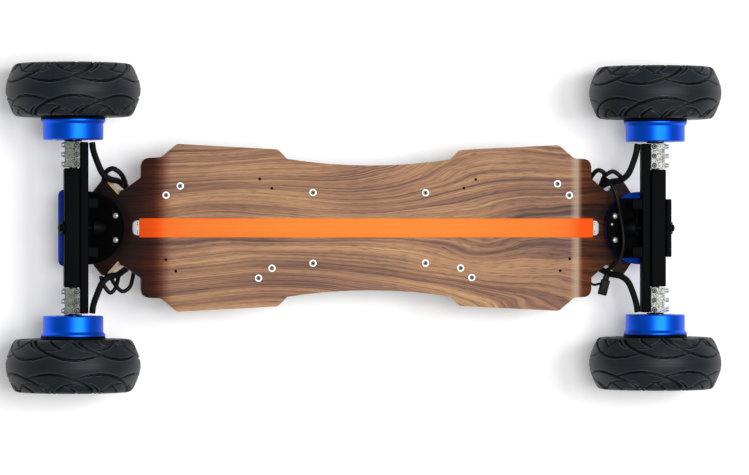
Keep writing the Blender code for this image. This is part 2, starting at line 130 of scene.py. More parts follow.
def soften(obj, width, segments=3, angle=30):
    """Rounds the sharp edges and shades the rest smooth."""
    apply(obj, "BEVEL", width=width, segments=segments, limit_method="ANGLE",
          angle_limit=math.radians(angle), harden_normals=False, use_clamp_overlap=True)
    return shaded(obj)


def shaded(obj, angle=38):
    select_only(obj)
    bpy.ops.object.shade_smooth_by_angle(angle=math.radians(angle))
    return obj


def cut(obj, cutter):
    """Cuts another shape out of a piece; the cutter is then removed."""
    apply(obj, "BOOLEAN", operation="DIFFERENCE", object=cutter, solver="EXACT")
    bpy.data.objects.remove(cutter)
    return obj


def block(name, low, high):
    """A box between two corners."""
    low, high = Vector(low), Vector(high)
    bpy.ops.mesh.primitive_cube_add(size=1, location=(low + high) / 2, scale=high - low)
    return settled(bpy.context.object, name)


def rod(name, start, stop, radius, sides=32):
    start, stop = Vector(start), Vector(stop)
    turn = (stop - start).to_track_quat("Z", "Y").to_euler()
    bpy.ops.mesh.primitive_cylinder_add(vertices=sides, radius=radius, depth=(stop - start).length,
                                        location=(start + stop) / 2, rotation=turn)
    return settled(bpy.context.object, name)


def turned(name, profile, place, direction, steps=96, round_corners=0.0005):
    """A profile of (radius, distance along the axis), its corners rounded, spun about an axis."""
    ring = min(radius for radius, _ in profile) > 0
    count = len(profile)
    edges = [(i, (i + 1) % count) for i in range(count if ring else count - 1)]
    mesh = bpy.data.meshes.new(name)
    mesh.from_pydata([(radius, 0, along) for radius, along in profile], edges, [])
    obj = bpy.data.objects.new(name, mesh)
    bpy.context.scene.collection.objects.link(obj)
    edit_whole(obj)
    if round_corners:
        bpy.ops.mesh.bevel(offset=round_corners, segments=3, affect="VERTICES")
        bpy.ops.mesh.select_all(action="SELECT")
    bpy.ops.mesh.spin(steps=steps, angle=math.tau, center=(0, 0, 0), axis=(0, 0, 1))
    bpy.ops.mesh.select_all(action="SELECT")
    bpy.ops.mesh.remove_doubles(threshold=0.000002)
    bpy.ops.mesh.normals_make_consistent(inside=False)
    bpy.ops.object.mode_set(mode="OBJECT")
    turn = Vector(direction).to_track_quat("Z", "Y").to_matrix().to_4x4()
    mesh.transform(Matrix.Translation(place) @ turn)
    return shaded(settled(obj, name))


def copied(obj, name, matrix):
    """A copy with its own mesh, moved or mirrored by matrix."""
    twin = obj.copy()
    twin.data = obj.data.copy()
    twin.name = name
    twin.data.name = name
    bpy.context.scene.collection.objects.link(twin)
    twin.data.transform(matrix)
    if matrix.determinant() < 0:
        twin.data.flip_normals()
    return twin


def joined(pieces, name):
    """Several shapes in one mesh."""
    select_only(pieces[0])
    for piece in pieces[1:]:
        piece.select_set(True)
    bpy.ops.object.join()
    return settled(pieces[0], name)


def from_node(node, name, edge=0.0, segments=3):
    """A node's shape with its flat faces made whole and its edges rounded."""
    obj = copied(NODES[node], name, Matrix.Identity(4))
    obj.parent = None
    for key in [key for key in obj.keys() if key.startswith("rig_")]:
        del obj[key]
    edit_whole(obj)
    bpy.ops.mesh.remove_doubles(threshold=0.00002)
    bpy.ops.mesh.dissolve_limited(angle_limit=math.radians(0.5))
    bpy.ops.object.mode_set(mode="OBJECT")
    obj.data.materials.clear()
    if edge:
        soften(obj, edge, segments)
    return shaded(obj)


def split_at(obj, place, normal):
    """A line of new edges where a plane meets a piece, so that each side can have its own surface."""
    edit_whole(obj)
    bpy.ops.mesh.bisect(plane_co=place, plane_no=normal)
    bpy.ops.object.mode_set(mode="OBJECT")


def mirror_to(end, side):
    return Matrix.Diagonal((end, side, 1, 1))


def curve_through(points, steps):
    """Points on a smooth curve through all but the first and the last, which only lead it."""
    fine = []
    for a, b, c, d in zip(points, points[1:], points[2:], points[3:]):
        for step in range(steps):
            t = step / steps
            fine.append(0.5 * (2 * b + (c - a) * t + (2 * a - 5 * b + 4 * c - d) * t * t
                               + (3 * b - a - 3 * c + d) * t ** 3))
    return fine + [points[-2]]


def finish(obj, look, body, node=None):
    """Gives a piece its surface, its body and the frame node that it stands for."""
    obj.data.materials.clear()
    obj.data.materials.append(look)
    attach(obj, body)
    if node:
        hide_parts(node)
    return obj


def finish_bent(obj, look, node):
    """Gives a piece its surface, hides the frame node that it stands for and puts its place into its mesh."""
    obj.data.materials.clear()
    obj.data.materials.append(look)
    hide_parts(node)
    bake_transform(obj)


def refined(node, name, edge, segments, look):
    """A node's shape with rounded edges and its surface, which stands for the node."""
    return finish(from_node(node, name, edge, segments), look, BODY_OF[node], node)


# ---- surfaces ----

def from_hex(code):
    """An sRGB hex colour as linear RGBA."""
    parts = [int(code[i:i + 2], 16) / 255 for i in (1, 3, 5)]
    return tuple(p / 12.92 if p <= 0.04045 else ((p + 0.055) / 1.055) ** 2.4 for p in parts) + (1.0,)


def add(tree, kind, links=None, stops=(), **settings):
    """Adds a node with its settings.

    links holds a value or another node's socket for each input, stops a colour ramp's places and colours.
    """
    made = tree.nodes.new(kind)
    for key, value in settings.items():
        setattr(made, key, value)
    for key, value in (links or {}).items():
        if isinstance(value, bpy.types.NodeSocket):
            tree.links.new(value, made.inputs[key])
        else:
            made.inputs[key].default_value = value
    for index, (position, colour) in enumerate(stops):
        bar = made.color_ramp.elements
        stop = bar[index] if index < 2 else bar.new(position)
        stop.position = position
        stop.color = from_hex(colour) if isinstance(colour, str) else (colour, colour, colour, 1)
    return made


def surface(name, colour, roughness, metallic=0.0, **sockets):
    """A Principled surface; sockets are more inputs, with underscores for spaces."""
    made = bpy.data.materials.new(name)
    made.use_nodes = True
    tree = made.node_tree
    shader = tree.nodes["Principled BSDF"]
    shader.inputs["Base Color"].default_value = from_hex(colour)
    shader.inputs["Roughness"].default_value = roughness
    shader.inputs["Metallic"].default_value = metallic
    for key, value in sockets.items():
        shader.inputs[key.replace("_", " ")].default_value = value
    made.diffuse_color = from_hex(colour)
    return made, tree, shader


def grain_bump(tree, shader, scale, strength, depth, stretch=(1, 1, 1)):
    """Fine relief from noise of a real size: scale is 1 / grain size in metres."""
    place = add(tree, "ShaderNodeTexCoord").outputs["Object"]
    spread = add(tree, "ShaderNodeMapping", {"Vector": place, "Scale": stretch}).outputs["Vector"]
    noise = add(tree, "ShaderNodeTexNoise", {"Vector": spread, "Scale": scale, "Detail": 2.0})
    bump = add(tree, "ShaderNodeBump", {"Height": noise.outputs["Fac"], "Strength": strength,
                                        "Distance": depth})
    tree.links.new(bump.outputs["Normal"], shader.inputs["Normal"])


def shaded_by(tree, colour, factor, stops):
    """A colour multiplied by the shades that follow a factor."""
    shades = add(tree, "ShaderNodeValToRGB", {"Fac": factor}, stops).outputs["Color"]
    return add(tree, "ShaderNodeMix", {0: 1.0, 6: colour, 7: shades}, data_type="RGBA",
               blend_type="MULTIPLY").outputs[2]


def walnut_veneer():
    """Clear-lacquered walnut: long flowing growth lines, fine pores, painted shade darkening the ends past the
    bends.
    """
    made, tree, shader = surface("walnut_veneer", "#9A7250", 0.5, Specular_IOR_Level=0.3)
    place = add(tree, "ShaderNodeTexCoord").outputs["Object"]
    parts = add(tree, "ShaderNodeSeparateXYZ", {"Vector": place}).outputs

    def drawn_out(flow, along, across, detail, roughness=0.5, seed=0.0):
        """Noise drawn out along the board, with its scales per metre."""
        spot = add(tree, "ShaderNodeMapping", {
            "Vector": flow, "Scale": (along, across, 0.0), "Location": (0.0, 0.0, seed)})
        return add(tree, "ShaderNodeTexNoise", {"Vector": spot.outputs["Vector"], "Scale": 1.0,
                                                "Detail": detail, "Roughness": roughness}).outputs["Fac"]

    sway = drawn_out(place, 2.4, 6.0, 1.0, seed=3.1)
    ripple = drawn_out(place, 8.0, 22.0, 1.5, seed=7.7)
    # the lines spread away from the middle towards the front
    fan = add(tree, "ShaderNodeMapRange", {0: parts["X"], 1: -0.12, 2: 0.24, 3: 1.0, 4: 0.45},
              interpolation_type="SMOOTHSTEP").outputs[0]
    across = add(tree, "ShaderNodeMath", {0: parts["Y"], 1: fan}, operation="MULTIPLY").outputs[0]
    for drift, share in ((sway, 0.085), (ripple, 0.012)):
        across = add(tree, "ShaderNodeMath", {0: drift, 1: share, 2: across},
                     operation="MULTIPLY_ADD").outputs[0]
    flow = add(tree, "ShaderNodeCombineXYZ", {"X": parts["X"], "Y": across}).outputs[0]
    # growth lines 8 to 14 mm apart, finer lines about 3 mm apart between them
    bands = drawn_out(flow, 1.0, 150.0, 3.0, 0.62, seed=1.3)
    lines = drawn_out(flow, 2.4, 560.0, 4.0, 0.75, seed=5.9)
    clouds = drawn_out(flow, 4.0, 16.0, 2.0, seed=9.2)
    # open pores are 0.2 mm wide: drawn 0.7 mm wide so that they show
    pores = drawn_out(flow, 70.0, 1350.0, 1.0, seed=2.2)
    tone = 0.0
    for pattern, share in ((bands, 0.36), (lines, 0.40), (clouds, 0.24)):
        tone = add(tree, "ShaderNodeMath", {0: pattern, 1: share, 2: tone},
                   operation="MULTIPLY_ADD").outputs[0]
    wood = add(tree, "ShaderNodeValToRGB", {"Fac": tone}, [
        (0.365, "#3A2015"), (0.625, "#C49765"), (0.420, "#603C2A"), (0.460, "#80553C"),
        (0.500, "#98694A"), (0.552, "#AF8156"),
    ]).outputs["Color"]
    back = add(tree, "ShaderNodeMath", {0: parts["X"], 1: -1.0}, operation="MULTIPLY").outputs[0]
    # dark pores, then painted shade past the bends, where the ends slope down, darker still on the rear end
    for factor, stops in (
        (pores, [(0.30, 0.55), (0.48, 1.0)]),
        (parts["X"], [(0.294, "#FFFFFF"), (0.304, "#B98C5E"), (0.312, "#A0764C"), (0.345, "#6C532F"),
                      (0.36, "#503D20")]),
        (back, [(0.280, "#FFFFFF"), (0.291, "#C79A78"), (0.304, "#7A4A2C"), (0.325, "#4E2E1A"),
                (0.35, "#352015")]),
    ):
        wood = shaded_by(tree, wood, factor, stops)
    # painted highlight: a pale band along the front bend, where the bend catches the light
    bend_highlight = add(tree, "ShaderNodeValToRGB", {"Fac": parts["X"]},
               [(0.290, 0.0), (0.298, 0.42), (0.3015, 0.42), (0.306, 0.0)]).outputs["Color"]
    wood = add(tree, "ShaderNodeMix", {0: bend_highlight, 6: wood, 7: from_hex("#E6CBB0")}, data_type="RGBA").outputs[2]
    tree.links.new(wood, shader.inputs["Base Color"])
    bump = add(tree, "ShaderNodeBump", {"Height": pores, "Strength": 0.15, "Distance": 0.0002})
    tree.links.new(bump.outputs["Normal"], shader.inputs["Normal"])
    return made


def ply_edge():
    """Sawn edge of maple ply: pale and dark layers 1.3 mm thick, read from the depth attribute."""
    made, tree, shader = surface("ply_edge", "#D9B98C", 0.6)
    depth = add(tree, "ShaderNodeAttribute", attribute_name="ply_depth").outputs["Fac"]
    layers = add(tree, "ShaderNodeMath", {0: depth, 1: 4.5}, operation="MULTIPLY").outputs[0]
    share = add(tree, "ShaderNodeMath", {0: layers}, operation="FRACT").outputs[0]
    stripes = add(tree, "ShaderNodeValToRGB", {"Fac": share}, [
        (0.40, "#E2C79C"), (0.50, "#A97F52"), (0.92, "#A97F52"), (1.0, "#E2C79C")])
    tree.links.new(stripes.outputs["Color"], shader.inputs["Base Color"])
    return made


def orange_strip():
    """Satin orange strip, with painted shade making it redder past the bends."""
    made, tree, shader = surface("orange_strip", "#FF8A2E", 0.55, Specular_IOR_Level=0.15)
    place = add(tree, "ShaderNodeTexCoord").outputs["Object"]
    x = add(tree, "ShaderNodeSeparateXYZ", {"Vector": place}).outputs["X"]
    reach = add(tree, "ShaderNodeMath", {0: x}, operation="ABSOLUTE").outputs[0]
    # painted shade: redder towards the ends, as on the darkened ends of the deck
    tint = add(tree, "ShaderNodeValToRGB", {"Fac": reach}, [
        (0.12, "#F8862C"), (0.26, "#F67A22"), (0.288, "#F8701C"), (0.304, "#FF560C")]).outputs["Color"]
    grain = add(tree, "ShaderNodeMapping", {"Vector": place, "Scale": (4, 260, 1)}).outputs["Vector"]
    streak = add(tree, "ShaderNodeTexNoise", {"Vector": grain, "Scale": 1.0, "Detail": 2.0}).outputs["Fac"]
    tree.links.new(shaded_by(tree, tint, streak, [(0.3, 0.93), (0.6, 1.0)]), shader.inputs["Base Color"])
    return made


def blue_anodised():
    """Turned aluminium, anodised deep blue: a clear dyed skin over metal, with fine lathe rings."""
    made, tree, shader = surface("blue_anodised", "#0759E8", 0.40, 0.9, Specular_IOR_Level=0.3)
    grain_bump(tree, shader, 1.0, 0.12, 0.0001, stretch=(30, 2200, 30))
    return made


def tyre_rubber():
    """Cured rubber: matt charcoal, with painted shade making the grooves black and a painted highlight making
    their lips lighter.
    """
    made, tree, shader = surface("cured_tyre_rubber", "#141D23", 0.48, Specular_IOR_Level=0.25)
    depth = add(tree, "ShaderNodeAttribute", attribute_name="tread").outputs["Fac"]
    # 0.5 is the plain tread, 0 the bottom of a groove and 1 the top of a lip: painted shade in the grooves, a
    # painted highlight on the lips
    tint = add(tree, "ShaderNodeValToRGB", {"Fac": depth}, [
        (0.0, "#020405"), (0.36, "#080D10"), (0.5, "#151E25"), (1.0, "#3E4A52")]).outputs["Color"]
    place = add(tree, "ShaderNodeTexCoord").outputs["Object"]
    mottle = add(tree, "ShaderNodeTexNoise", {"Vector": place, "Scale": 90.0, "Detail": 3.0}).outputs["Fac"]
    tree.links.new(shaded_by(tree, tint, mottle, [(0.35, 0.86), (0.65, 1.0)]), shader.inputs["Base Color"])
    fine = add(tree, "ShaderNodeTexNoise", {"Vector": place, "Scale": 900.0, "Detail": 1.0}).outputs["Fac"]
    bump = add(tree, "ShaderNodeBump", {"Height": fine, "Strength": 0.1, "Distance": 0.0002})
    tree.links.new(bump.outputs["Normal"], shader.inputs["Normal"])
    return made


def cast_aluminium():
    """Sand-cast aluminium: grey with dark pits about 1.5 mm across and paler high spots."""
    made, tree, shader = surface("sand_cast_aluminium", "#B4B2A8", 0.5, 0.2)
    place = add(tree, "ShaderNodeTexCoord").outputs["Object"]
    pits = add(tree, "ShaderNodeTexNoise", {"Vector": place, "Scale": 520.0, "Detail": 2.0}).outputs["Fac"]
    tint = add(tree, "ShaderNodeValToRGB", {"Fac": pits}, [
        (0.34, "#4C4E48"), (0.44, "#91948C"), (0.56, "#B4B7AF"), (0.7, "#D6D9D2")]).outputs["Color"]
    # painted shade: the rear clamps are painted darker than the front ones
    x = add(tree, "ShaderNodeSeparateXYZ", {"Vector": place}).outputs["X"]
    rear_painted_shade = shaded_by(tree, tint, x, [(0.0, "#979A92"), (0.01, "#FFFFFF")])
    tree.links.new(rear_painted_shade, shader.inputs["Base Color"])
    bump = add(tree, "ShaderNodeBump", {"Height": pits, "Strength": 0.6, "Distance": 0.0005})
    tree.links.new(bump.outputs["Normal"], shader.inputs["Normal"])
    return made


def plain_surfaces():
    """Finishes of one colour: roughness, metallic, specular level, grain as (1 / size, strength)."""
    made = {}
    for key, name, colour, roughness, metallic, gloss, grain in (
        ("powder_coat", "black_powder_coat", "#050708", 0.55, 0.0, 0.03, (1200, 0.12)),
        ("plastic", "moulded_black_abs", "#040405", 0.5, 0.0, 0.04, (1500, 0.15)),
        # a darker copy of the blue anodising, for the rear base plate: painted shade
        ("blue_in_painted_shade", "blue_anodised_in_painted_shade", "#0A3098", 0.38, 0.7, 0.3, (1500, 0.1)),
        ("zinc", "bright_zinc_steel", "#C4C4C0", 0.3, 0.65, 0.5, None),
        # a darker zinc for the clamp screws than for the deck screws
        ("clamp_zinc", "darker_zinc_steel", "#A3A4A0", 0.34, 0.55, 0.5, None),
        ("washer", "nickel_washer", "#F4F4F0", 0.4, 0.4, 0.5, None),
        ("socket", "screw_socket_shadow", "#0C0D10", 0.6, 0.0, 0.2, None),
        ("black_steel", "black_oxide_steel", "#040506", 0.45, 0.0, 0.07, None),
        ("urethane", "black_urethane", "#060708", 0.55, 0.0, 0.1, None),
        ("sleeve", "braided_sleeve", "#040506", 0.6, 0.0, 0.12, (1400, 0.6)),
        ("wire", "silicone_wire", "#040405", 0.45, 0.0, 0.15, None),
        ("connector", "nylon_connector", "#050607", 0.5, 0.0, 0.12, None),
        ("axle_steel", "turned_steel", "#9A9B9C", 0.35, 1.0, 0.5, (1500, 0.1)),
        ("copper", "stator_windings", "#8A4B25", 0.45, 0.8, 0.5, (900, 0.5)),
        ("wrap", "cell_wrap", "#17506B", 0.4, 0.0, 0.4, (60, 0.1)),
        ("sink", "blasted_aluminium", "#B8BABC", 0.5, 1.0, 0.5, (1500, 0.2)),
        ("steel_button", "polished_steel", "#DADBDC", 0.18, 1.0, 0.5, None),
    ):
        made[key], tree, shader = surface(name, colour, roughness, metallic, Specular_IOR_Level=gloss)
        if grain:
            grain_bump(tree, shader, grain[0], grain[1], 0.0002)
    return made


# ---- small hardware ----

SOCKET_SHARE = 0.46        # a hex socket's size against its head
WASHER_THICK = 0.0010


def button_screw(name, head_r, height, steps=28):
    """A button-head screw at the origin, pointing up, with a hex socket."""
    profile = [
        (0, height), (head_r * 0.42, height * 0.98), (head_r * 0.72, height * 0.80),
        (head_r * 0.93, height * 0.42), (head_r, 0.0), (0, 0.0),
    ]
    head = turned(name, profile, (0, 0, 0), UP, steps, 0.0)
    key = rod("key", (0, 0, height * 0.3), (0, 0, height * 1.5), head_r * SOCKET_SHARE, 6)
    return shaded(cut(head, key), 30)


def dark_sockets(obj, dark, places, normal, radius):
    """Gives the faces inside each screw's hex socket the dark surface, a painted shade."""
    obj.data.materials.append(dark)
    centres = [Vector(place) for place in places]
    axis = Vector(normal).normalized()
    for face in obj.data.polygons:
        for centre in centres:
            away = face.center - centre
            if (away - away.dot(axis) * axis).length < radius:
                face.material_index = 1
                break


def washer(name, radius, thick):
    profile = [(radius, thick), (radius, 0), (radius * 0.4, 0), (radius * 0.4, thick)]
    return turned(name, profile, (0, 0, 0), UP, 40, thick * 0.3)


def scatter(master, places, normal, name, keep=False):
    """Copies of a master, pointing along normal, joined into one piece; the master is then removed."""
    turn = Vector(normal).to_track_quat("Z", "Y").to_matrix().to_4x4()
    made = joined([copied(master, name, Matrix.Translation(place) @ turn) for place in places], name)
    if not keep:
        bpy.data.objects.remove(master)
    return made


# ---- deck ----

def wood_top(x):
    """The height of the board's top at x."""
    return DECK_TOP - max(0.0, abs(x) - BEND_X) * TIP_SLOPE


# the straight cuts beside the rear notches are chamfered, so the ply shows
CUT_MIDDLE = Vector((0.3585, 0.0613))
CUT_REACH = 0.0115
CUT_BEVEL = 0.0062
CLIP_X = 0.3275


def near_cut(place, reach):
    return (Vector((-place.x, abs(place.y))) - CUT_MIDDLE).length < reach


def make_deck(wood, edge):
    deck = from_node("deck", "deck_board")
    mesh = deck.data
    select_only(deck)
    bpy.ops.object.mode_set(mode="EDIT")
    bpy.ops.mesh.select_mode(type="EDGE")
    bpy.ops.mesh.select_all(action="DESELECT")
    bpy.ops.object.mode_set(mode="OBJECT")
    for side in mesh.edges:
        ends = [mesh.vertices[index].co for index in side.vertices]
        on_top = all(abs(end.z - wood_top(end.x)) < 0.0004 for end in ends)
        side.select = on_top and near_cut((ends[0] + ends[1]) / 2, CUT_REACH)
    bpy.ops.object.mode_set(mode="EDIT")
    bpy.ops.mesh.bevel(offset=CUT_BEVEL, segments=1, affect="EDGES")
    bpy.ops.object.mode_set(mode="OBJECT")
    apply(deck, "BEVEL", width=0.0012, segments=3, limit_method="ANGLE", angle_limit=math.radians(40))
    shaded(deck, 32)
    depth = mesh.attributes.new("ply_depth", "FLOAT", "POINT")
    co = np.empty(len(mesh.vertices) * 3)
    mesh.vertices.foreach_get("co", co)
    co = co.reshape(-1, 3)
    top = DECK_TOP - np.maximum(0, np.abs(co[:, 0]) - BEND_X) * TIP_SLOPE
    depth.data.foreach_set("value", np.clip((top - co[:, 2]) / PLY_THICK, 0, 1).astype(np.float32))
    finish(deck, wood, BODY_OF["deck"], "deck")
    mesh.materials.append(edge)
    for face in mesh.polygons:
        limit = 0.80 if near_cut(face.center, 0.014) else 0.45
        face.material_index = 1 if abs(face.normal.z) < limit else 0


def make_stripe(paint, metal, dark):
    """The orange strip, its end clips and the four small pins in each."""
    refined("deck_stripe", "orange_stripe", 0.0003, 2, paint)
    for end, x in ENDS.items():
        refined(f"stripe_clip_{end}", f"stripe_clip_plate_{end}", 0.0005, 2, metal)
        pin = rod("pin", (0, 0, 0), (0, 0, 0.0006), 0.0008, 12)
        places = [(x * CLIP_X, y, wood_top(CLIP_X) + 0.0022) for y in (-0.0075, 0.0075, -0.0045, 0.0045)]
        pins = scatter(pin, places, (x * 0.5, 0, 0.87), f"stripe_clip_pins_{end}")
        finish(pins, dark, BODY_OF["deck"])


BINDING_SCREWS = (
    (-0.269, 0.059), (-0.289, 0.046), (-0.139, -0.057), (-0.158, -0.071),
    (0.271, 0.063), (0.288, 0.0466), (0.131, -0.057), (0.147, -0.0705),
)
SPARE_HOLES = (
    (-0.156, 0.069), (-0.139, 0.056), (-0.289, -0.045), (-0.275, -0.061),
    (0.153, 0.069), (0.136, 0.0565), (0.289, -0.044), (0.275, -0.061),
)


def make_inserts(dark):
    """Threaded inserts in the spare binding holes, in the dark socket surface: painted shade that darkens the
    holes.
    """
    nut = turned("insert", [(0.0021, 0.005), (0.0021, 0), (0, 0), (0, 0.003), (0.0012, 0.005)],
                 (0, 0, 0), UP, 24, 0.0)
    places = [(x, y, DECK_TOP - 0.0105) for x, y in SPARE_HOLES]
    finish(scatter(nut, places, UP, "spare_hole_inserts"), dark, BODY_OF["deck"])


def make_deck_screws(metal, ring, dark):
    """Twelve button heads in washers: four hold the tub, eight the bindings."""
    head = button_screw("screw_head", 0.0037, 0.0026)
    seat = DECK_TOP + WASHER_THICK
    socket_r = 0.0020
    tub_screws = []
    for index in range(1, 5):
        low, high = box_of(f"deck_screw_{index}")
        x, y = (low.x + high.x) / 2, (low.y + high.y) / 2
        tub_screws.append((x, y))
        top = scatter(head, [(x, y, seat)], UP, "head", keep=True)
        shank = rod("shank", (x, y, low.z), (x, y, seat + 0.0002), 0.0026, 16)
        screw = joined([top, shank], f"tub_screw_{index}")
        finish(screw, metal, BODY_OF["deck"], f"deck_screw_{index}")
        dark_sockets(screw, dark, [(x, y, seat)], UP, socket_r)
    places = [(x, y, seat) for x, y in BINDING_SCREWS]
    binding = scatter(head, places, UP, "binding_screws")
    finish(binding, metal, BODY_OF["deck"])
    dark_sockets(binding, dark, places, UP, socket_r)
    rings = [(x, y, DECK_TOP + 0.0002) for x, y in [*BINDING_SCREWS, *tub_screws]]
    washers = scatter(washer("screw_washer", 0.0051, WASHER_THICK), rings, UP, "screw_washers")
    finish(washers, ring, BODY_OF["deck"])


# ---- tyres ----

AROUND = 592
ACROSS = 160
PITCHES = 8
# half section of the tyre: radius and distance from its middle
SECTION = (
    (0.048, 0.0), (0.048, 0.020), (0.048, 0.0295), (0.0500, 0.0316), (0.058, 0.0355), (0.070, 0.0372),
    (0.0780, 0.0370), (0.0825, 0.0349), (0.0858, 0.0298), (0.0896, 0.0215), (0.0931, 0.0120), (0.0950, 0.0),
)
# grooves in one pitch of the outboard half: (along, across, half width, depth) in millimetres
GROOVES = (
    ((-8, 17.5, 0.5, 0.8), (6, 14.0, 0.9, 1.8), (20, 11.0, 1.2, 2.6), (34, 9.8, 1.4, 3.0),
     (47, 11.0, 1.5, 3.0), (60, 14.6, 1.5, 3.0), (74, 19.6, 1.5, 3.0), (86, 25.5, 1.6, 3.0),
     (96, 32.0, 1.9, 3.6), (103, 40.0, 2.5, 4.6), (106, 53.0, 2.8, 4.2)),
    ((40, 36.0, 0.9, 1.8), (47, 31.0, 0.9, 1.8), (55, 27.0, 0.9, 1.8), (66, 24.2, 0.8, 1.6),
     (77, 24.4, 0.4, 0.8)),
    ((54, 26.6, 1.0, 2.0), (63, 31.0, 1.1, 2.2), (71, 37.0, 1.6, 3.6), (75, 50.0, 1.9, 3.4)),
    ((20, 25.0, 0.7, 1.2), (30, 31.0, 1.0, 2.0), (37, 38.5, 1.5, 3.4), (40, 50.0, 1.8, 3.2)),
)
# rings round the sidewall: place along the section and depth, in millimetres
SIDE_RINGS = ((43.5, 1.0), (60.0, 0.7), (66.0, 0.7), (69.5, 0.7))
WALL = 0.9                 # width of a groove's sloping wall and of the lip beside it, in millimetres
LIP = 0.22                 # how far a lip stands proud, in millimetres
INNER_SHIFT = 0.38         # how far the inboard half's grooves are shifted, in pitches
TORUS_R = 0.07


def section_curve(count):
    """Points round the whole section, with the tread's rows closest together, and their arc length."""
    outer = [Vector((-w, r)) for r, w in SECTION] + [Vector((w, r)) for r, w in SECTION[-2::-1]]
    points = np.array([tuple(p) for p in curve_through([outer[0], *outer, outer[-1]], 16)])
    length = np.concatenate([[0], np.cumsum(np.hypot(*np.diff(points, axis=0).T))])
    middle = length[-1] / 2
    across = length - middle
    # rows are dense where the tread is and sparse on the bead
    density = np.where(np.abs(across) < 0.054, 1.0, 0.35)
    weight = np.concatenate([[0], np.cumsum((density[1:] + density[:-1]) / 2 * np.diff(length))])
    wanted = np.linspace(0, weight[-1], count + 1)[:-1]
    return (np.interp(wanted, weight, points[:, 0]), np.interp(wanted, weight, points[:, 1]),
            np.interp(wanted, weight, across))


def groove_depth(along, across):
    """How deep the tread is cut at each point, in metres; the lips beside a groove stand a little proud."""
    pitch = math.tau * TYRE_R * 1000 / PITCHES
    depth = np.zeros(len(along))
    for side in (1, -1):
        mine = np.nonzero(across * side > 0.004)[0]
        s = (along[mine] * 1000 * side + (INNER_SHIFT * pitch if side < 0 else 0.0)) % pitch
        w = across[mine] * 1000 * side
        found = np.zeros(len(mine))
        lip = np.zeros(len(mine))
        for groove in GROOVES:
            for (s0, w0, h0, d0), (s1, w1, h1, d1) in zip(groove, groove[1:]):
                for shift in (-pitch, 0.0, pitch):
                    ds, dw = s1 - s0, w1 - w0
                    t = np.clip(((s - s0 - shift) * ds + (w - w0) * dw) / (ds * ds + dw * dw), 0, 1)
                    gap = np.hypot(s - s0 - shift - t * ds, w - w0 - t * dw)
                    width = h0 + (h1 - h0) * t
                    wall = np.clip((width + WALL / 2 - gap) / WALL, 0, 1)
                    found = np.maximum(found, (d0 + (d1 - d0) * t) * wall * wall * (3 - 2 * wall))
                    inner = w < w0 + t * dw
                    lip = np.maximum(lip, inner * np.clip(1 - np.abs(gap - width - 1.0) / WALL, 0, 1))
        for place, cut_depth in SIDE_RINGS:
            found = np.maximum(found, cut_depth * np.clip(1 - np.abs(w - place) / WALL, 0, 1))
        depth[mine] = np.where(found > 0.02, found, -LIP * lip)
    depth[np.abs(across) < 0.0005] = 0.35
    return depth / 1000


def make_tyre():
    """A tyre on the +Y side, its tread carved row by row, centred on its own axle."""
    bpy.ops.mesh.primitive_torus_add(major_segments=AROUND, minor_segments=ACROSS,
                                     major_radius=TORUS_R, minor_radius=0.02)
    tyre = settled(bpy.context.object, "tyre_master")
    mesh = tyre.data
    co = np.empty(len(mesh.vertices) * 3)
    mesh.vertices.foreach_get("co", co)
    co = co.reshape(-1, 3)
    around = np.arctan2(co[:, 1], co[:, 0])
    minor = np.arctan2(co[:, 2], np.hypot(co[:, 0], co[:, 1]) - TORUS_R)
    step = math.tau / ACROSS
    row = np.round((minor + math.pi) / step).astype(int) % ACROSS
    side, radius, across = section_curve(ACROSS)
    r = radius[row]
    w = side[row]
    depth = groove_depth(around * TYRE_R, across[row])
    slope_w = np.gradient(side)[row]
    slope_r = np.gradient(radius)[row]
    size = np.hypot(slope_w, slope_r)
    r = r - depth * slope_w / size
    w = w + depth * slope_r / size
    # 0.5 on the plain tread, 0 from a depth of 2.6 mm and 1 on top of a lip, read by the rubber as painted shade
    # and painted highlight
    shade = 0.5 - 0.5 * np.where(depth > 0, np.minimum(depth / 0.0026, 1), depth / LIP * 1000)
    mesh.attributes.new("tread", "FLOAT", "POINT").data.foreach_set("value", shade.astype(np.float32))
    co[:, 0] = r * np.sin(around)
    co[:, 2] = r * np.cos(around)
    co[:, 1] = w
    mesh.vertices.foreach_set("co", co.ravel())
    mesh.update()
    edit_whole(tyre)
    bpy.ops.mesh.normals_make_consistent(inside=False)
    bpy.ops.object.mode_set(mode="OBJECT")
    return shaded(tyre, 60)


def make_tyres(rubber):
    master = make_tyre()
    for corner, end, side in CORNERS:
        place = Matrix.Translation((end * AXLE_X, side * WHEEL_Y, AXLE_Z)) @ mirror_to(1, side)
        tyre = copied(master, f"treaded_tyre_{corner}", place)
        finish(tyre, rubber, f"wheel_{corner}", f"tyre_{corner}")
    bpy.data.objects.remove(master)


# ---- wheels and motors ----

AXLE = (AXLE_X, 0, AXLE_Z)
OUTBOARD = (0, 1, 0)


def spread(master, name, look, part, slot, node=None):
    """Mirrors a front left piece to all four corners, where it rides on the wheel or on the truck."""
    for corner, end, side in CORNERS:
        twin = copied(master, f"{name}_{corner}", mirror_to(end, side))
        body = TRUCK_OF[corner] if part == "truck" else f"wheel_{corner}"
        finish(twin, look, body, f"{node}_{corner}" if node else None)
    bpy.data.objects.remove(master)


def bolt_circle(count, radius, y, shift=0.0):
    """Places round the front left axle, moved on by a share of their spacing."""
    angles = [math.tau * (index + shift) / count for index in range(count)]
    return [(AXLE_X + radius * math.sin(angle), y, AXLE_Z + radius * math.cos(angle)) for angle in angles]


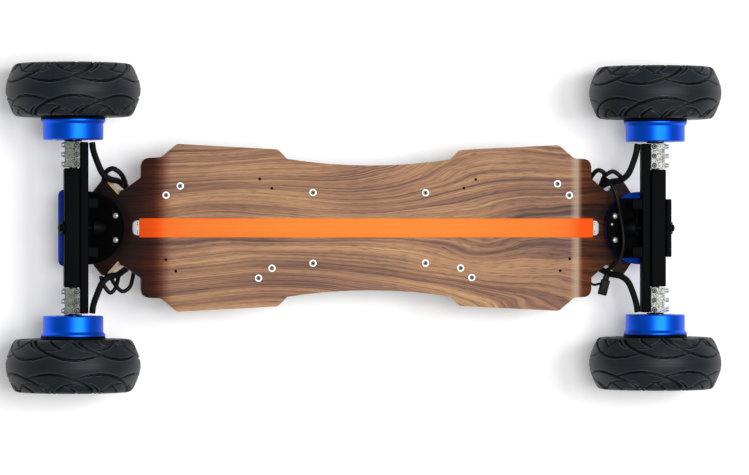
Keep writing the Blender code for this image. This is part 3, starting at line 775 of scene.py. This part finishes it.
def make_motor_can(blue, metal, dark):
    """The turned can, the screws in its inboard face and the collar on its axle."""
    flange_r = CAN_HIGH.x - AXLE_X
    can_r = flange_r - 0.003
    inner, outer = CAN_LOW.y, CAN_HIGH.y
    profile = [
        (flange_r, outer), (flange_r, outer - 0.0025), (can_r, outer - 0.0062), (can_r, inner + 0.0012),
        (can_r - 0.0012, inner), (0.034, inner), (0.0335, inner + 0.0008), (0.020, inner + 0.0008),
        (0.0195, inner), (0.0066, inner), (0.0066, inner + 0.003), (0.039, inner + 0.003), (0.039, outer),
    ]
    can = turned("can", profile, AXLE, OUTBOARD, 128, 0.0004)
    spread(can, "hub_motor_can", blue, "wheel", "blue_anodised", "motor_can")
    head = button_screw("can_screw", 0.0026, 0.0016, 20)
    screws = scatter(head, bolt_circle(6, 0.030, inner + 0.0009), (0, -1, 0), "can_screws")
    spread(screws, "can_screws", metal, "wheel", "zinc_plated_steel")
    profile = [(0.0125, inner - 0.0004), (0.0125, inner - 0.0022), (0.0064, inner - 0.0022),
               (0.0064, inner - 0.0004)]
    collar = turned("collar", profile, AXLE, OUTBOARD, 48, 0.0003)
    spread(collar, "axle_collar", dark, "truck", "black_oxide_steel")


def make_stators(copper, steel):
    """Copper windings on a steel axle."""
    for corner, end, _ in CORNERS:
        stator = refined(f"motor_stator_{corner}", f"wound_stator_{corner}", 0.0005, 2, steel)
        stator.data.materials.append(copper)
        for face in stator.data.polygons:
            wound = CAN_LOW.y < abs(face.center.y) < CAN_HIGH.y
            radius = math.hypot(face.center.x - end * AXLE_X, face.center.z - AXLE_Z)
            face.material_index = 1 if wound and radius > 0.008 else 0


def make_rim(coat, metal, dark):
    """The turned rim with five pockets in its outer face, its screws and the nut on its axle."""
    outer = RIM_HIGH.y
    barrel = RIM_HIGH.x - AXLE_X
    profile = [
        (barrel, outer), (barrel, 0.1605), (0.0455, 0.1583), (0.0455, 0.1530), (0.0066, 0.1530),
        (0.0066, 0.1590), (0.0427, 0.1590), (0.0427, 0.2055), (0.014, 0.2065), (0.0066, 0.2065),
        (0.0066, 0.217), (0.0135, 0.217), (0.0150, 0.214), (0.0380, 0.211), (0.0425, 0.214),
        (0.0435, outer - 0.001), (0.0445, outer),
    ]
    rim = turned("rim", profile, AXLE, OUTBOARD, 120, 0.0006)
    for x, y, z in bolt_circle(5, 0.0265, 0.200):
        cut(rim, rod("pocket", (x, y, z), (x, 0.222, z), 0.0085, 40))
    soften(rim, 0.0005, 2, 40)
    spread(rim, "wheel_hub_rim", coat, "wheel", "black_powder_coat", "wheel_rim")
    head = button_screw("rim_screw", 0.0033, 0.0022, 24)
    screws = scatter(head, bolt_circle(5, 0.0275, 0.2125, 0.5), OUTBOARD, "rim_screws")
    spread(screws, "rim_screws", metal, "wheel", "zinc_plated_steel")
    nut = rod("nut", (AXLE_X, 0.2178, AXLE_Z), (AXLE_X, 0.2232, AXLE_Z), 0.0098, 6)
    cut(nut, rod("nut_bore", (AXLE_X, 0.210, AXLE_Z), (AXLE_X, 0.230, AXLE_Z), 0.0061, 32))
    spread(soften(nut, 0.0006, 2), "axle_nut", dark, "truck", "black_oxide_steel")


# ---- trucks ----

CLAMP_GAP = 0.0012         # the split that the clamp's screws close
COVER_X = 0.397            # the middle of the cover's round end
COVER_GROWTH = 1.028       # the drawn cover against the node's
BASE_THICK = 0.008
COVER_THICK = 0.005
COVER_SCREW_X = 0.3585
SMALL_SCREW_X = 0.3535
# half the width of the black part of a base's slope: the cover's at the front, all of it at the rear, where the
# black past the cover is painted shade
BLACK_HALF = {"front": 0.043, "rear": 0.06}
# how far the kingpin reaches past its pivot, up to its tip and down to its head
KINGPIN_TIP = {"front": 0.0277, "rear": 0.0222}
KINGPIN_FOOT = -0.0412


def make_clamps(cast, metal, dark):
    """A cast block round each axle, with three screws in its top and three caps in its outboard face."""
    low, high = CLAMP_LOW, CLAMP_HIGH
    past = 0.01
    clamp = block("clamp", low, (high.x, high.y, high.z - 0.0015))
    cut(clamp, rod("bore", (AXLE_X, low.y - past, AXLE_Z), (AXLE_X, high.y + past, AXLE_Z), 0.0063, 40))
    cut(clamp, block("split", (AXLE_X, low.y - past, AXLE_Z - CLAMP_GAP / 2),
                     (high.x + past, high.y + past, AXLE_Z + CLAMP_GAP / 2)))
    rows = [low.y + (high.y - low.y) * share for share in (0.12, 0.5, 0.88)]
    for y in rows[:2]:
        middle = y + (high.y - low.y) * 0.19
        cut(clamp, block("relief", (high.x - 0.0025, middle - 0.003, low.z - past),
                         (high.x + past, middle + 0.003, high.z + past)))
        cut(clamp, block("pocket", (low.x + 0.007, middle - 0.0028, high.z - 0.0035),
                         (high.x - 0.005, middle + 0.0028, high.z + past)))
    soften(clamp, 0.0011, 3)
    spread(clamp, "motor_axle_clamp", cast, "truck", "cast_aluminium", "axle_clamp")
    tops = [(low.x + 0.0042, y, high.z - 0.0019) for y in rows]
    screws = scatter(button_screw("clamp_screw", 0.0029, 0.0022, 24), tops, UP, "clamp_screws")
    # painted shadow: thin dark rings in the socket-shadow surface under the top screw heads
    shadow_ring_places = [(x, y, high.z - 0.0017) for x, y, _ in tops]
    rings = scatter(washer("ring", 0.0036, 0.0004), shadow_ring_places, UP, "clamp_screw_shadow_rings")
    spread(rings, "clamp_screw_shadow_rings", dark, "truck", "black_oxide_steel")
    # cap heads stand proud of the outboard face
    cap = rod("cap_screw", (0, 0, 0), (0, 0, 0.0040), 0.0030, 28)
    cut(cap, rod("key", (0, 0, 0.0018), (0, 0, 0.006), 0.0016, 6))
    soften(cap, 0.0005, 2)
    more = scatter(cap, [(high.x - 0.0002, y, high.z - 0.0050) for y in rows], (1, 0, 0), "cap_screws")
    spread(joined([screws, more], "clamp_screws"), "clamp_screws", metal, "truck", "zinc_plated_steel")
    for corner, end, side in CORNERS:
        places = [mirror_to(end, side) @ Vector(place) for place in tops]
        dark_sockets(bpy.data.objects[f"clamp_screws_{corner}"], dark, places, UP, 0.0014)


def blacken_base(base, start, axis, half, black):
    """Paints the kingpin boss and the slope under the cover black; where half reaches past the cover, the black
    there is painted shade.
    """
    for y in (-half, half):
        split_at(base, (0, y, 0), (0, 1, 0))
    base.data.materials.append(black)
    for face in base.data.polygons:
        x, y, z = abs(face.center.x), abs(face.center.y), face.center.z
        boss = (face.center - start).cross(axis).length < 0.0165 and x < 0.3995 and z > 0.068
        slope = y < half and x < 0.400 and face.normal.z > 0.6
        face.material_index = 1 if boss or slope else 0


def make_trucks(surfaces):
    coat, black = surfaces["powder_coat"], surfaces["black_steel"]
    for end, x in ENDS.items():
        start = Vector((x * STEER_POINT.x, 0, STEER_POINT.z))
        axis = Vector((x * STEER_AXIS.x, 0, STEER_AXIS.z))
        refined(f"hanger_{end}", f"hanger_beam_{end}", 0.0018, 4, coat)
        refined(f"hanger_rail_{end}", f"hanger_bar_{end}", 0.0010, 3, coat)
        # the rear base plate takes the darker copy of the blue: painted shade
        tint = surfaces["blue" if end == "front" else "blue_in_painted_shade"]
        base = refined(f"truck_base_{end}", f"truck_base_plate_{end}", 0.0008, 3, tint)
        blacken_base(base, start, axis, BLACK_HALF[end], black)
        cover = refined(f"base_cover_{end}", f"kingpin_cover_{end}", 0.0016, 4, surfaces["plastic"])
        grow = Matrix.Translation((x * COVER_X, 0, 0)) @ Matrix.Diagonal((COVER_GROWTH, COVER_GROWTH, 1, 1))
        cover.data.transform(grow @ Matrix.Translation((-x * COVER_X, 0, 0)))
        refined(f"kingpin_nut_{end}", f"kingpin_hex_nut_{end}", 0.0008, 3, black)
        tip = KINGPIN_TIP[end]
        pin = [(0, tip), (0.0035, tip), (0.0049, tip - 0.0012), (0.0049, KINGPIN_FOOT), (0, KINGPIN_FOOT)]
        kingpin = turned(f"kingpin_bolt_{end}", pin, start, axis, 48, 0.0)
        finish(kingpin, black, "deck_body", f"kingpin_{end}")
    refined("bumper_plate", "front_bumper_plate", 0.0008, 3, coat)


def make_cover_screws(metal):
    """Two button heads on each cover and a small one on the front cover."""
    head = button_screw("cover_screw", 0.0042, 0.0026, 28)
    cover_top = (BASE_THICK + COVER_THICK) / math.cos(TIP_ANGLE) + 0.0006
    for end, x in ENDS.items():
        normal = (x * math.sin(TIP_ANGLE), 0, math.cos(TIP_ANGLE))
        z = wood_top(COVER_SCREW_X) + cover_top - 0.0004
        spots = [(x * COVER_SCREW_X, side * 0.0172, z) for side in (1, -1)]
        made = [scatter(head, spots, normal, f"cover_screws_{end}", keep=True)]
        if end == "front":
            small = button_screw("small_screw", 0.0022, 0.0014, 20)
            spot = (SMALL_SCREW_X, 0.0052, wood_top(SMALL_SCREW_X) + cover_top - 0.0003)
            made.append(scatter(small, [spot], normal, "cover_small_screw"))
        finish(joined(made, f"cover_screws_{end}"), metal, "deck_body")
    bpy.data.objects.remove(head)


def make_dampers(urethane):
    """Waisted blocks between each base and its hanger."""
    for corner, _, _ in CORNERS:
        low, high = box_of(f"damper_{corner}")
        radius = (high.x - low.x) / 2
        tall = high.z - low.z
        profile = [
            (0, tall), (radius * 0.86, tall), (radius * 0.97, tall * 0.72), (radius * 0.72, tall * 0.5),
            (radius * 0.97, tall * 0.28), (radius * 0.86, 0), (0, 0),
        ]
        foot = Vector(((low.x + high.x) / 2, (low.y + high.y) / 2, low.z))
        damper = turned(f"damper_block_{corner}", profile, foot, UP, 48, 0.0008)
        apply(damper, "SUBSURF", levels=1, render_levels=1)
        finish_bent(damper, urethane, f"damper_{corner}")


# ---- motor leads ----

LEAD_R = 0.0045
LEAD_ROUTE = (
    (0.3915, 0.1205, 0.097), (0.3895, 0.108, 0.098), (0.384, 0.092, 0.100),
    (0.377, 0.077, 0.100), (0.367, 0.069, 0.096), (0.354, 0.066, 0.087),
    (0.344, 0.060, 0.072), (0.330, 0.050, 0.066), (0.308, 0.040, 0.074),
    (0.282, 0.0325, 0.085), (0.262, 0.030, 0.088), (0.246, 0.030, 0.088), (0.233, 0.030, 0.088),
)


def tube(name, route, radius):
    """A round lead along a smooth route, as a mesh."""
    curve = bpy.data.curves.new(name, "CURVE")
    curve.dimensions = "3D"
    curve.bevel_depth = radius
    curve.bevel_resolution = 5
    curve.use_fill_caps = True
    points = [Vector(place) for place in route]
    fine = curve_through([2 * points[0] - points[1], *points, 2 * points[-1] - points[-2]], 8)
    spline = curve.splines.new("POLY")
    spline.points.add(len(fine) - 1)
    for point, place in zip(spline.points, fine):
        point.co = (*place, 1)
    obj = bpy.data.objects.new(name, curve)
    bpy.context.scene.collection.objects.link(obj)
    select_only(obj)
    bpy.ops.object.convert(target="MESH")
    obj = bpy.context.object
    edit_whole(obj)
    bpy.ops.mesh.remove_doubles(threshold=0.000005)
    bpy.ops.mesh.normals_make_consistent(inside=False)
    bpy.ops.object.mode_set(mode="OBJECT")
    return shaded(settled(obj, name), 50)


def make_leads(sleeve):
    for corner, end, side in CORNERS:
        route = [(end * x, side * y, z) for x, y, z in LEAD_ROUTE]
        lead = tube(f"sleeved_motor_lead_{corner}", route, LEAD_R)
        finish_bent(lead, sleeve, f"motor_lead_{corner}")


# service loops of thinner wire beside the notches: radius and route
LOOPS = (
    # rear right
    (0.0029, (
        (-0.379, -0.068, 0.094), (-0.3755, -0.080, 0.096), (-0.366, -0.0915, 0.096), (-0.358, -0.084, 0.094),
        (-0.3535, -0.070, 0.087), (-0.350, -0.061, 0.076))),
    (0.0029, (
        (-0.366, -0.066, 0.088), (-0.360, -0.078, 0.091), (-0.349, -0.0895, 0.092), (-0.338, -0.084, 0.090),
        (-0.333, -0.070, 0.084), (-0.331, -0.058, 0.076))),
    # rear left
    (0.0036, (
        (-0.375, 0.066, 0.092), (-0.3725, 0.078, 0.099), (-0.363, 0.0835, 0.103), (-0.352, 0.077, 0.102),
        (-0.345, 0.066, 0.092), (-0.3425, 0.054, 0.078))),
    # front left
    (0.0033, (
        (0.3245, 0.064, 0.080), (0.3255, 0.074, 0.092), (0.333, 0.0825, 0.098), (0.342, 0.079, 0.099),
        (0.344, 0.068, 0.090), (0.343, 0.058, 0.076))),
    (0.0031, (
        (0.3400, 0.062, 0.086), (0.343, 0.074, 0.098), (0.354, 0.081, 0.102), (0.364, 0.0755, 0.102),
        (0.371, 0.069, 0.098))),
    (0.0028, (
        (0.342, 0.060, 0.082), (0.344, 0.070, 0.096), (0.352, 0.062, 0.105), (0.3605, 0.040, 0.1055),
        (0.3655, 0.018, 0.1010), (0.3700, -0.006, 0.0985), (0.3705, -0.026, 0.0985), (0.366, -0.043, 0.096),
        (0.357, -0.054, 0.092), (0.3475, -0.062, 0.086))),
    # front right
    (0.0018, (
        (0.338, -0.0795, 0.092), (0.330, -0.0815, 0.090), (0.322, -0.077, 0.088), (0.3165, -0.068, 0.084))),
    (0.0030, (
        (0.351, -0.062, 0.088), (0.347, -0.068, 0.092), (0.3445, -0.076, 0.092))),
)


def make_loops(wire, shell):
    for index, (radius, route) in enumerate(LOOPS, 1):
        finish(tube(f"service_loop_{index}", route, radius), wire, "deck_body")
    plug = block("plug", (0.3375, -0.0965, 0.087), (0.3500, -0.074, 0.096))
    collar = block("collar", (0.3395, -0.076, 0.0885), (0.3480, -0.068, 0.0945))
    turn = Matrix.Translation((0.344, -0.084, 0.09)) @ Matrix.Rotation(math.radians(-14), 4, "Z")
    turn = turn @ Matrix.Translation((-0.344, 0.084, -0.09))
    connector = joined([soften(plug, 0.0016), soften(collar, 0.001)], "lead_connector")
    connector.data.transform(turn)
    finish(connector, shell, "deck_body")


# ---- tub ----

def make_tub(surfaces):
    for node, name, edge, segments, look, slot in (
        ("battery_tub", "battery_tub_shell", 0.0014, 3, "plastic", "black_plastic"),
        ("lead_gland_front", "lead_gland_block_front", 0.001, 3, "plastic", "black_plastic"),
        ("lead_gland_rear", "lead_gland_block_rear", 0.001, 3, "plastic", "black_plastic"),
        ("power_button", "power_button_cap", 0.0004, 2, "steel_button", "polished_steel"),
        ("charge_port", "charge_socket", 0.0004, 2, "plastic", "black_plastic"),
        ("charge_port_cap", "charge_socket_cap", 0.0006, 3, "urethane", "black_rubber"),
    ):
        refined(node, name, edge, segments, surfaces[look])


def dress_nodes(surfaces):
    """Nodes whose own shape is right get their surface."""
    looks = {
        "battery_pack": "wrap", "motor_controller": "sink", "tub_seal": "urethane",
        "pivot_bushing": "urethane",
    }
    for node, obj in NODES.items():
        for start, look in looks.items():
            if node.startswith(start):
                obj.data.materials.clear()
                obj.data.materials.append(surfaces[look])


# ---- studio ----

def make_studio():
    bpy.ops.mesh.primitive_plane_add(size=14, location=(0, 0, -0.0005))
    floor = settled(bpy.context.object, "studio_floor")
    floor.data.materials.append(surface("studio_floor_paint", "#FDFDFD", 0.9, Specular_IOR_Level=0.1,
                                        Emission_Color=from_hex("#FFFFFF"), Emission_Strength=0.18)[0])
    world = bpy.data.worlds.new("studio_light")
    bpy.context.scene.world = world
    world.use_nodes = True
    backdrop = world.node_tree.nodes["Background"]
    backdrop.inputs["Color"].default_value = from_hex("#FFFFFF")
    backdrop.inputs["Strength"].default_value = 0.36
    bpy.context.scene.view_settings.view_transform = "Standard"
    for name, place, size, power in (
        ("key_softbox", (2.0, 0.4, 4.4), 1.5, 92),
        ("top_softbox", (0.2, 0.0, 5.0), 1.5, 92),
    ):
        light = bpy.data.lights.new(name, "AREA")
        light.shape = "SQUARE"
        light.size = size
        light.energy = power
        lamp = bpy.data.objects.new(name, light)
        lamp.location = place
        lamp.rotation_euler = (Vector((0, 0, 0.1)) - Vector(place)).to_track_quat("-Z", "Y").to_euler()
        bpy.context.scene.collection.objects.link(lamp)


def make_camera():
    lens = bpy.data.cameras.new("view_from_above")
    lens.lens = 200
    lens.sensor_width = 36
    lens.clip_end = 30
    frame_width = 1.065
    distance = frame_width * lens.lens / lens.sensor_width
    tilt = math.radians(8)
    look_at = Vector((0.0100, -0.0136, 0.10))
    camera = bpy.data.objects.new("view_from_above", lens)
    camera.location = look_at + distance * Vector((-math.sin(tilt), 0, math.cos(tilt)))
    camera.rotation_euler = (0, -tilt, 0)
    bpy.context.scene.collection.objects.link(camera)
    bpy.context.scene.camera = camera


make_studio()
make_camera()
SURFACES = plain_surfaces()
SURFACES["blue"] = blue_anodised()
make_deck(walnut_veneer(), ply_edge())
make_stripe(orange_strip(), SURFACES["washer"], SURFACES["socket"])
make_deck_screws(SURFACES["zinc"], SURFACES["washer"], SURFACES["socket"])
make_inserts(SURFACES["socket"])
make_tyres(tyre_rubber())
make_motor_can(SURFACES["blue"], SURFACES["zinc"], SURFACES["black_steel"])
make_stators(SURFACES["copper"], SURFACES["axle_steel"])
make_rim(SURFACES["powder_coat"], SURFACES["zinc"], SURFACES["black_steel"])
make_clamps(cast_aluminium(), SURFACES["clamp_zinc"], SURFACES["socket"])
make_trucks(SURFACES)
make_cover_screws(SURFACES["zinc"])
make_dampers(SURFACES["urethane"])
make_leads(SURFACES["sleeve"])
make_loops(SURFACES["wire"], SURFACES["connector"])
make_tub(SURFACES)
dress_nodes(SURFACES)
